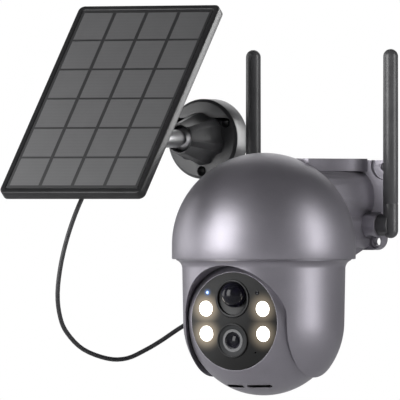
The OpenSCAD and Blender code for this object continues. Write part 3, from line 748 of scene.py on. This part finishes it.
class SOLARCAM_OT_stage(bpy.types.Operator):
    """Set up the camera, the lights and a plain pale floor"""

    bl_idname = "solarcam.stage"
    bl_label = "Camera, lights and floor"

    def light(self, name, bearing, height, distance, size, power, aim, upright=True):
        """Soft rectangular light that looks at a point from a bearing round it."""
        turn = math.radians(bearing)
        at = aim + Vector((math.sin(turn) * distance, -math.cos(turn) * distance, height))
        bpy.ops.object.light_add(type="AREA", location=at)
        lamp = bpy.context.object
        lamp.name = name
        lamp.data.shape = "RECTANGLE"
        lamp.data.size, lamp.data.size_y = size
        lamp.data.energy = power
        look_at = Vector((aim.x, aim.y, at.z if upright else aim.z))
        lamp.rotation_euler = (look_at - at).to_track_quat("-Z", "Y").to_euler()
        lamp.visible_camera = False
        return lamp

    def execute(self, context):
        scene = context.scene
        aim = Vector((-0.0802, -0.0463, 0.0036))
        bearing, distance = math.radians(30), 7.937
        stand = aim + distance * Vector((math.sin(bearing), -math.cos(bearing), 0))
        deselect()
        bpy.ops.object.camera_add(location=stand, rotation=(math.radians(90), 0, bearing))
        camera = context.object
        camera.name = "Main camera"
        camera.data.lens = 1000
        camera.data.sensor_width = 36
        camera.data.clip_start = 0.05
        scene.camera = camera
        scene.view_settings.view_transform = "Standard"
        scene.view_settings.look = "None"
        power = scene.solar_camera.key_light
        body = Vector((0, -0.08, 0))
        self.light("Left strip", -24, 0.1, 1.4, (0.78, 1.7), power * 2.3, body)
        self.light("Right strip", 98, 0.1, 1.4, (0.56, 1.7), power * 1.2, body)
        self.light("Left fill", -82, 0.1, 1.5, (0.8, 1.6), power * 0.65, body)
        side = self.light("Arm fill", 18, 0.15, 1.5, (0.9, 1.2), power * 0.8, body)
        side.light_linking.receiver_collection = group_for("Arm")
        edge = self.light("Rear edge", 148, 0.1, 1.5, (0.5, 1.6), power * 2.2, body)
        edge.light_linking.receiver_collection = group_for("Panel and bracket")
        self.light("Back fill", 205, 0.7, 1.4, (0.9, 1.2), power * 0.3, body, False)
        deselect()
        below = (-0.02, -0.1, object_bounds()[0].z - 0.12)
        bpy.ops.mesh.primitive_grid_add(x_subdivisions=6, y_subdivisions=6, size=2.4, location=below)
        floor = new_piece("Floor")
        soften(floor, 0.5, 1)
        place(floor, Matrix.Identity(4))
        floor.data.materials.append(look("floor paper"))
        floor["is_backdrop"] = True
        self.sky(scene)
        return {"FINISHED"}

    def sky(self, scene):
        """White behind the object, and a softer light on it that fades overhead and below."""
        world = bpy.data.worlds.new("Studio")
        scene.world = world
        world.use_nodes = True
        tree = world.node_tree
        tree.nodes.clear()
        seen = tree.nodes.new("ShaderNodeLightPath")
        white = tree.nodes.new("ShaderNodeBackground")
        white.inputs["Color"].default_value = (1, 1, 1, 1)
        white.inputs["Strength"].default_value = 1.0
        room = tree.nodes.new("ShaderNodeBackground")
        room.inputs["Color"].default_value = (0.97, 0.97, 1.0, 1)
        way = tree.nodes.new("ShaderNodeTexCoord")
        split = tree.nodes.new("ShaderNodeSeparateXYZ")
        steep = tree.nodes.new("ShaderNodeMath")
        steep.operation = "ABSOLUTE"
        dim = tree.nodes.new("ShaderNodeMapRange")
        dim.inputs["From Min"].default_value = 0.15
        dim.inputs["From Max"].default_value = 0.75
        dim.inputs["To Min"].default_value = 0.25
        dim.inputs["To Max"].default_value = 0.05
        tree.links.new(way.outputs["Generated"], split.inputs[0])
        tree.links.new(split.outputs["Z"], steep.inputs[0])
        tree.links.new(steep.outputs[0], dim.inputs["Value"])
        tree.links.new(dim.outputs[0], room.inputs["Strength"])
        mix = tree.nodes.new("ShaderNodeMixShader")
        out = tree.nodes.new("ShaderNodeOutputWorld")
        tree.links.new(seen.outputs["Is Camera Ray"], mix.inputs[0])
        tree.links.new(room.outputs[0], mix.inputs[1])
        tree.links.new(white.outputs[0], mix.inputs[2])
        tree.links.new(mix.outputs[0], out.inputs[0])


class SOLARCAM_OT_lead(bpy.types.Operator):
    """Route the panel's lead round the camera to its coil and its plug"""

    bl_idname = "solarcam.lead"
    bl_label = "Solar lead"

    def execute(self, context):
        width = context.scene.solar_camera.lead_width
        way = PANEL.to_3x3() @ Vector((0, -1, 0))
        out = PANEL @ Vector((0, -30 * MM, -20 * MM))
        route = [
            (-98, -181, 5.7), (-102, -191.3, -16.4), (-107, -194.8, -39.3), (-112, -191.9, -62.1),
            (-115, -183.1, -79.3), (-116, -171.4, -90.7), (-114, -152.7, -102.1), (-107, -131, -108.8),
            (-101, -114, -108.8), (-94, -100, -103), (-87, -89.5, -96.4), (-79.5, -78.5, -88.3),
            (-68, -62, -77), (-57, -49, -67), (-48, -38, -60), (-41, -28, -56), (-36.5, -20.5, -57),
        ]
        coil = Vector((-15, -15, -63)) * MM
        turns = wound(coil, 19, 3.25, 183, 333)
        knots = [out - way * 0.003, out + way * 0.005, out + way * 0.016] + [Vector(p) * MM for p in route] + [turns[0]]
        steps = 4
        line = through(knots, steps)
        bend = 5 * steps
        upper, lower = line[: bend + 1], line[bend:]
        plug = Vector((16, -18, -46)) * MM
        last = turns[-1]
        lift = (turns[-1] - turns[-2]).normalized()
        rise = [plug + Vector(p) for p in ((0.0012, 0, -0.009), (0, 0, -0.003), (0, 0, 0.002))]
        wind = turns + through([last, last + lift * 0.006, *rise], 4)[1:]
        first = cord_tube("lead_upper", upper, width)
        finish(first, look("cord jacket"), None, "cord_rubber", "solar_lead")
        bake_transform(first)
        measure(upper)
        second = cord_tube("lead_lower", lower, width)
        finish(second, look("cord jacket"), None, "cord_rubber")
        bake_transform(second)
        measure(lower)
        third = cord_tube("lead_coiled", wind, width)
        finish(third, look("cord jacket"), "base", "cord_rubber", "lead_coil", "lead_tail")
        measure(wind)
        return {"FINISHED"}


class SOLARCAM_OT_fittings(bpy.types.Operator):
    """Make the plug, its strain relief, the cable tie and its mount"""

    bl_idname = "solarcam.fittings"
    bl_label = "Plug and cable tie"

    def execute(self, context):
        matrix = Matrix.Translation(Vector((16, -18, 0)) * MM)
        ribs = [(0, -22.9), (2.6, -22.9), (2.75, -23.2), (2.75, -31.5), (4.4, -31.5), (4.8, -31.9), (4.8, -37.4)]
        ribs.append((4.5, -38))
        height = -38.6
        for i in range(4):
            wide = 4.1 - 0.34 * i
            ribs += [(wide, height), (wide, height - 1), (wide - 0.6, height - 1.2), (wide - 0.6, height - 1.8)]
            height -= 1.9
        ribs += [(2.2, -46), (1.62, -46), (1.62, -44), (0, -44)]
        plug = turned("plug_grip", ribs, matrix, 48)
        turns = [matrix @ Matrix.Rotation(math.radians(angle), 4, "Z") for angle in range(0, 360, 45)]
        for rib in [block("plug_rib", (4.4, -0.4, -37), (5.2, 0.4, -32.4), turn) for turn in turns]:
            cut(plug, rib, "UNION")
        finish(smooth(plug), look("soft rubber"), "base", "soft_rubber", "lead_plug")
        for name, node, width, segments, finish_name, slot in (
            ("tie_band", "cable_tie", 0.25, 2, "black plastic", "black_plastic"),
            ("tie_saddle", "tie_mount", 0.8, 3, "black plastic", "black_plastic"),
            ("port_seal", "port_cover", 0.3, 2, "soft rubber", "soft_rubber"),
        ):
            finish(cast(name, node, width, segments), look(finish_name), "base", slot, node)
        return {"FINISHED"}


class SOLARCAM_OT_arm(bpy.types.Operator):
    """Make the wall plate, the arm and its cover"""

    bl_idname = "solarcam.arm"
    bl_label = "Wall plate and arm"

    def execute(self, context):
        for name, node, width, segments in (
            ("back_plate", "wall_plate", 0.9, 3),
            ("arm_casing", "arm_body", 0.5, 2),
            ("arm_lid", "arm_cover", 0.8, 3),
        ):
            finish(cast(name, node, width, segments), look("body paint"), "base", "grey_body", node)
        return {"FINISHED"}


class SOLARCAM_OT_hood(bpy.types.Operator):
    """Make the round hood over the yoke"""

    bl_idname = "solarcam.hood"
    bl_label = "Hood"

    def execute(self, context):
        low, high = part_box("hood")
        radius = (high.x - low.x) / 2 / MM
        rim = low.z / MM
        dome = rim + 10.2
        inner = radius - 2.4
        edge = [(radius, rim + 0.7), (radius - 0.25, rim + 0.2), (radius - 0.8, rim), (inner + 0.5, rim)]
        outline = [*arc(0, dome, radius, 90, 0, 36), *edge, (inner, rim + 0.5), *arc(0, dome, inner, 0, 90, 24)]
        finish(smooth(turned("hood_shell", outline, PAN, 160)), look("body paint"), "base", "grey_body", "hood")
        return {"FINISHED"}


class SOLARCAM_OT_yoke(bpy.types.Operator):
    """Make the turning yoke with its arched opening"""

    bl_idname = "solarcam.yoke"
    bl_label = "Yoke"

    def execute(self, context):
        ball = JOINT["head_tilt"].z / MM
        slot, room_r, inner_r = 41, 55.4, 54.4
        way = slot - 0.02  # a hair narrower than the room, so that no two cuts share a plane
        collar = [(0, -22), (50, -22), (51.7, -22.3), (57.4, -26.6), (57.7, -27.4), (57.7, -37.9), (61.6, -37.9)]
        flare = [(61.9, -38.2), *arc(64.0, -44.8, 6.3, 109.5, 180, 10)]
        outline = [*collar, *flare, (57.4, -60), *arc(0, ball - 2, 57, 0, -90, 28)]
        yoke = turned("yoke_casing", outline, PAN, 160)
        room = rod("Room", 60, -slot, slot, BALL @ Matrix.Rotation(math.radians(90), 4, "Y"), 96)
        bowl = turned("Bowl", arc(0, 0, room_r, 90, -90, 48), BALL, 160)
        cut(bowl, room, "INTERSECT")
        cut(yoke, bowl)
        behind = PAN @ Matrix.Translation((0, 0.1, (ball - 4.4) * MM))
        through_all = behind @ Matrix.Rotation(math.radians(90), 4, "X")
        arch = rod("Arch", 42, 0, 200, through_all, 160)
        cut(arch, block("Sides", (-way, -60, -10), (way, 60, 210), through_all), "INTERSECT")
        cut(yoke, arch)
        cut(yoke, block("Opening", (-way, -100, -1), (way, 0.02, 201), through_all))
        for side in (-1, 1):
            out = BALL @ Matrix.Rotation(math.radians(90 * side), 4, "Y")
            cut(yoke, rod("Seat", 36, 40.5, 42.5, out, 96))
            hollow = rod("Hollow", 32.5, 42, 72, out, 96)
            lining = [(0, 60), (inner_r, 60), *arc(0, -2, inner_r, 0, -90, 24)]
            inside = turned("Inside", lining, BALL, 128)
            cut(hollow, inside, "INTERSECT")
            cut(yoke, hollow)
        cut(yoke, rod("Shaft hole", 8, 50, 80, BALL))
        finish(smooth(yoke, 30), look("body paint"), "yoke", "grey_body", "yoke_shell", "yoke_flare")
        return {"FINISHED"}


class SOLARCAM_OT_head(bpy.types.Operator):
    """Make the ball-shaped head and the tinted window of its face"""

    bl_idname = "solarcam.head"
    bl_label = "Head and face"

    def execute(self, context):
        outward = HEAD @ Matrix.Rotation(math.radians(90), 4, "Y")
        edge = [(36.7, BALL_HALF - 0.15), (36.2, BALL_HALF), (0, BALL_HALF)]
        flat = 90.0 - math.degrees(math.acos(BALL_HALF / BALL_R)) - 0.6
        outline = [*reversed(edge), *arc(0, 0, BALL_R, flat, -flat, 40), *((r, -height) for r, height in edge)]
        head = turned("head_casing", outline, outward, 192)
        cut(head, block("Front", (-60, -60, 41.9), (60, 60, 80), FACE))
        cut(head, rod("Window seat", 34.7, WINDOW_BACK, 60, FACE, 128))
        inner = turned("Inner ball", arc(0, 0, BALL_R - 2.4, 90, -90, 40), HEAD, 128)
        wall = BALL_HALF - 2.4
        cut(inner, block("Walls", (-wall, -60, -60), (wall, 60, 60), HEAD), "INTERSECT")
        cut(inner, block("Front wall", (-60, -60, 38.4), (60, 60, 80), FACE))
        cut(head, inner)
        cut(head, rod("Mouth", 32.7, 30, 60, FACE, 128))
        for side in (-1, 1):
            out = HEAD @ Matrix.Rotation(math.radians(90 * side), 4, "Y")
            cut(head, rod("Shaft seat", 4, 36, 44, out, 48))
            opening = block("Speaker slot", (side * 9.7 - 8.2, -38, -47.6), (side * 9.7 + 8.2, -12, -45.6), HEAD)
            cut(head, soften(opening, 0.9, 3))
        finish(smooth(head, 28), look("head paint"), "head", "grey_head", "head_shell")
        rim = [(34.6, WINDOW_BACK), (34.7, WINDOW_FRONT - 0.3), (34.5, WINDOW_FRONT)]
        window = turned("face_window", [(0, WINDOW_BACK), *rim, (0, WINDOW_FRONT)], FACE, 160)
        holes = [("flood_lens_" + lamp, 5.45) for lamp in LAMPS]
        holes += [("motion_ring", 12.0), ("lens_bezel", 10.6), ("status_light", 1.3), ("light_sensor", 1.3)]
        for node, radius in holes:
            cut(window, rod("Hole", radius, 36, 46, face_place(*on_face(node)), 64))
        cut(window, rod("Microphone", 0.6, 36, 46, face_place(16.6, -22), 24))
        finish(smooth(window, 14), look("face window"), "head", "face_black", "face_plate")
        return {"FINISHED"}


class SOLARCAM_OT_optics(bpy.types.Operator):
    """Make the lamps, the motion sensor, the camera lens and the small lights"""

    bl_idname = "solarcam.optics"
    bl_label = "Lamps and lenses"

    def part(self, name, outline, node, segments=96):
        """Turned part of the face at a node's place."""
        return turned(name, outline, face_place(*on_face(node)), segments)

    def execute(self, context):
        back, front = WINDOW_BACK, WINDOW_FRONT
        crown = [(5.1 * math.cos(a), front + 0.7 * math.sin(a)) for a in (0.3, 0.6, 0.9, 1.2, 1.4, 1.5708)]
        lens = [(0, 35.8), (5.0, 35.8), (5.35, 36.1), (5.35, 41.6), (5.1, front), *crown]
        for lamp in LAMPS:
            node = "flood_lens_" + lamp
            piece = self.part("lamp_" + lamp, lens, node, 48)
            finish(smooth(piece, 40), look("lamp lens"), "head", "flood_lens", node)
        ring = [
            (0, back), (12, back), (12, front), (13.5, front), (13.6, 42.3), (13.4, 42.9), (13.1, 43.05), (12.2, 43.05),
            (11.7, 42.8), (11.5, 42.2), (11.5, 41.1), (11.2, 40.95), (0, 40.95),
        ]
        sensor = self.part("motion_bezel", ring, "motion_ring")
        cut(sensor, rod("Eye hole", 8.6, 30, 50, face_place(*on_face("motion_dome")), 64))
        finish(smooth(sensor, 35), look("bezel black"), "head", "black_gloss", "motion_ring")
        shell = [*arc(0, 42.1, 9.2, -7, 90, 16), *arc(0, 42.1, 8.3, 90, 5, 10)]
        shell = [(8.5, back), (8.55, 41.6), *shell, (7.6, back), (8.5, back)]
        bezel = [
            (8, back), (10.55, back), (10.55, front), (11.7, front), (12, 42.3), (12, 42.8), (11.7, 43), (11.3, 43),
            (11.0, 42.7), (10.6, 42.5), (8.0, front), (6.3, 41.2), (6.3, 39.6), (8, back),
        ]
        rim = [(10.9, 42.4), (12.15, 42.4), (12.2, 43.0), (11.9, 43.25), (11.2, 43.25), (10.9, 43.0), (10.9, 42.4)]
        glass = [(0, 38.6), (6.2, 38.6), (6.2, 41.0), (5.9, 41.3), (5.2, 41.2), (4.4, 40.4), (3.9, 40.2), (3.7, 40.5)]
        glass += [(r, 40.5 + 0.9 * (1 - (r / 3.7) ** 2)) for r in (3.2, 2.6, 2.0, 1.4, 0.7, 0)]
        status = [(0, 39.5), (1.2, 39.5), (1.25, 41.9), (1.0, 42.2), (0.6, 42.35), (0, 42.4)]
        dusk = [(0, 39.5), (1.25, 39.5), (1.25, 41.9), (1.5, 42), (1.5, 42.2), (1.2, 42.3), (0.9, 42.1), (0, 42.0)]
        for name, outline, node, segments, angle, finish_name, slot, *nodes in (
            ("motion_eye", shell, "motion_dome", 72, 40, "black optic", "black_gloss", "motion_dome"),
            ("lens_ring", bezel, "lens_bezel", 96, 30, "lens metal", "dark_plastic", "lens_bezel"),
            ("lens_rim", rim, "lens_bezel", 96, 40, "bezel black", "black_gloss"),
            ("lens_front", glass, "lens_bezel", 72, 40, "black optic", "black_gloss", "lens_glass"),
            ("status_lamp", status, "status_light", 32, 40, "status light", "status_blue", "status_light"),
            ("dusk_sensor", dusk, "light_sensor", 32, 40, "black optic", "black_gloss", "light_sensor"),
        ):
            finish(smooth(self.part(name, outline, node, segments), angle), look(finish_name), "head", slot, *nodes)
        return {"FINISHED"}


class SOLARCAM_OT_antennas(bpy.types.Operator):
    """Make the two folding antennas and their pivots"""

    bl_idname = "solarcam.antennas"
    bl_label = "Antennas"

    def execute(self, context):
        for side in ("left", "right"):
            low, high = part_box("antenna_" + side)
            middle = (low + high) / 2
            bottom, top = low.z / MM, high.z / MM
            matrix = Matrix.Translation((middle.x, middle.y, 0))
            groove = [(5.4, bottom + 24), (5.25, bottom + 24.3), (5.25, bottom + 24.9), (5.4, bottom + 25.2)]
            outline = [*arc(0, bottom + 5.4, 5.4, -90, 0, 8), *groove, (5.4, bottom + 60), (5.3, top - 12)]
            sleeve = turned(side + "_antenna_sleeve", outline + arc(0, top - 5.3, 5.3, 0, 90, 10), matrix, 64)
            finish(smooth(sleeve, 40), look("antenna plastic"), side + "_antenna", "dark_plastic", "antenna_" + side)
            boss = cast(side + "_antenna_boss", f"antenna_{side}_pivot", 0.5, 2)
            finish(boss, look("dark plastic"), side + "_antenna", "dark_plastic", f"antenna_{side}_pivot")
        return {"FINISHED"}


class SOLARCAM_OT_bracket(bpy.types.Operator):
    """Make the wall disc, its lock nut and the stem with its ball"""

    bl_idname = "solarcam.bracket"
    bl_label = "Ball bracket"

    def execute(self, context):
        finish(cast("bracket_disc", "wall_disc", 1.0, 3), look("black plastic"), "base", "black_plastic", "wall_disc")
        outline = [(13.0, 17.0), (18.3, 17.0), (18.8, 17.5), (18.8, 20.7), (11.9, 44.6), (11.6, 46.5), (10.9, 48.0)]
        outline += [(10.0, 48.0), (9.6, 47.5), (9.6, 42.0), (11.1, 37.0), (11.1, 34.2), (13.0, 33.9), (13.0, 17.0)]
        nut = turned("bracket_nut", outline, DISC, 120)
        lean = Matrix.Translation((29.4 * MM, 0, 20.7 * MM)) @ Matrix.Rotation(math.radians(-12.6), 4, "Y")
        for flute in range(6):
            turn = Matrix.Rotation(math.radians(60 * flute + 10), 4, "Z")
            cut(nut, rod("Flute", 13.2, -14, 60, DISC @ turn @ lean, 96))
        finish(smooth(nut, 26), look("black plastic"), "nut", "black_plastic", "lock_nut")
        finish(cast("bracket_stem", "stem", 0.4, 2), look("stem metal"), "stem", "dark_plastic", "stem")
        return {"FINISHED"}


class SOLARCAM_OT_panel(bpy.types.Operator):
    """Make the solar panel's frame, its cells under their cover, and its hinge"""

    bl_idname = "solarcam.panel"
    bl_label = "Solar panel"

    def execute(self, context):
        for name, node, width, finish_name, slot in (
            ("panel_tray", "panel_frame", 0.9, "frame plastic", "dark_plastic"),
            ("panel_box", "junction_box", 1.0, "black plastic", "black_plastic"),
            ("panel_yoke", "panel_bracket", 0.6, "black plastic", "black_plastic"),
            ("panel_knob", "hinge_knob", 0.6, "black plastic", "black_plastic"),
            ("panel_bolt", "hinge_bolt", 0.4, "bright steel", "bright_steel"),
        ):
            finish(cast(name, node, width, 3), look(finish_name), "panel", slot, node)
        deselect()
        bpy.ops.mesh.primitive_plane_add(size=1)
        cover = new_piece("panel_cover")
        cover.scale = (107.4 * MM, 166.4 * MM, 1)
        place(cover, Matrix.Identity(4))
        bpy.ops.object.mode_set(mode="EDIT")
        bpy.ops.mesh.select_all(action="SELECT")
        bpy.ops.mesh.extrude_region_move(TRANSFORM_OT_translate={"value": (0, 0, 1.1 * MM)})
        bpy.ops.mesh.select_all(action="SELECT")
        bpy.ops.mesh.normals_make_consistent(inside=False)
        bpy.ops.object.mode_set(mode="OBJECT")
        soften(cover, 0.3, 2)
        place(cover, PANEL @ Matrix.Translation((0, 0, -1.3 * MM)))
        finish(cover, look("cell film"), "panel", "solar_cell", "panel_glass")
        return {"FINISHED"}


class SOLARCAM_OT_insides(bpy.types.Operator):
    """Finish the gears, motors, boards and batteries inside"""

    bl_idname = "solarcam.insides"
    bl_label = "Inside parts"

    def execute(self, context):
        repaint(
            bearing_plate="dark plastic", main_board="circuit board", pan_motor="bright steel",
            pan_pinion="gear plastic", battery_upper="battery wrap", battery_lower="battery wrap",
            power_socket="dark plastic", pan_gear="gear plastic", arm_plate_left="dark plastic",
            arm_plate_right="dark plastic", tilt_motor="bright steel", tilt_pinion="gear plastic",
            tilt_shaft_left="bright steel", tilt_shaft_right="bright steel", shaft_clip="bright steel",
            tilt_gear="gear plastic", head_board="circuit board", motion_sensor="bright steel",
            lens_barrel="dark plastic", speaker="dark plastic", cell_backing="dark plastic", solar_cells="cell film",
        )
        return {"FINISHED"}


class SOLARCAM_PT_panel(bpy.types.Panel):
    """The steps that build the camera"""

    bl_label = "Solar wall camera"
    bl_idname = "SOLARCAM_PT_panel"
    bl_space_type = "VIEW_3D"
    bl_region_type = "UI"
    bl_category = "Camera"

    def draw(self, context):
        settings = context.scene.solar_camera
        for name in SolarCameraSettings.__annotations__:
            self.layout.prop(settings, name)
        for step in STEPS:
            self.layout.operator(step.bl_idname)


STEPS = (
    SOLARCAM_OT_stage,
    SOLARCAM_OT_fittings,
    SOLARCAM_OT_lead,
    SOLARCAM_OT_arm,
    SOLARCAM_OT_hood,
    SOLARCAM_OT_yoke,
    SOLARCAM_OT_head,
    SOLARCAM_OT_optics,
    SOLARCAM_OT_antennas,
    SOLARCAM_OT_bracket,
    SOLARCAM_OT_panel,
    SOLARCAM_OT_insides,
)


def register():
    bpy.utils.register_class(SolarCameraSettings)
    bpy.types.Scene.solar_camera = bpy.props.PointerProperty(type=SolarCameraSettings)
    for step in (*STEPS, SOLARCAM_PT_panel):
        bpy.utils.register_class(step)


def unregister():
    for step in (SOLARCAM_PT_panel, *reversed(STEPS)):
        bpy.utils.unregister_class(step)
    del bpy.types.Scene.solar_camera
    bpy.utils.unregister_class(SolarCameraSettings)


def main():
    """Build everything."""
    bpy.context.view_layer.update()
    register()
    bpy.ops.solarcam.stage()
    bpy.ops.solarcam.fittings()
    bpy.ops.solarcam.lead()
    bpy.ops.solarcam.arm()
    bpy.ops.solarcam.hood()
    bpy.ops.solarcam.yoke()
    bpy.ops.solarcam.head()
    bpy.ops.solarcam.optics()
    bpy.ops.solarcam.antennas()
    bpy.ops.solarcam.bracket()
    bpy.ops.solarcam.panel()
    bpy.ops.solarcam.insides()


if __name__ == "__main__":
    main()
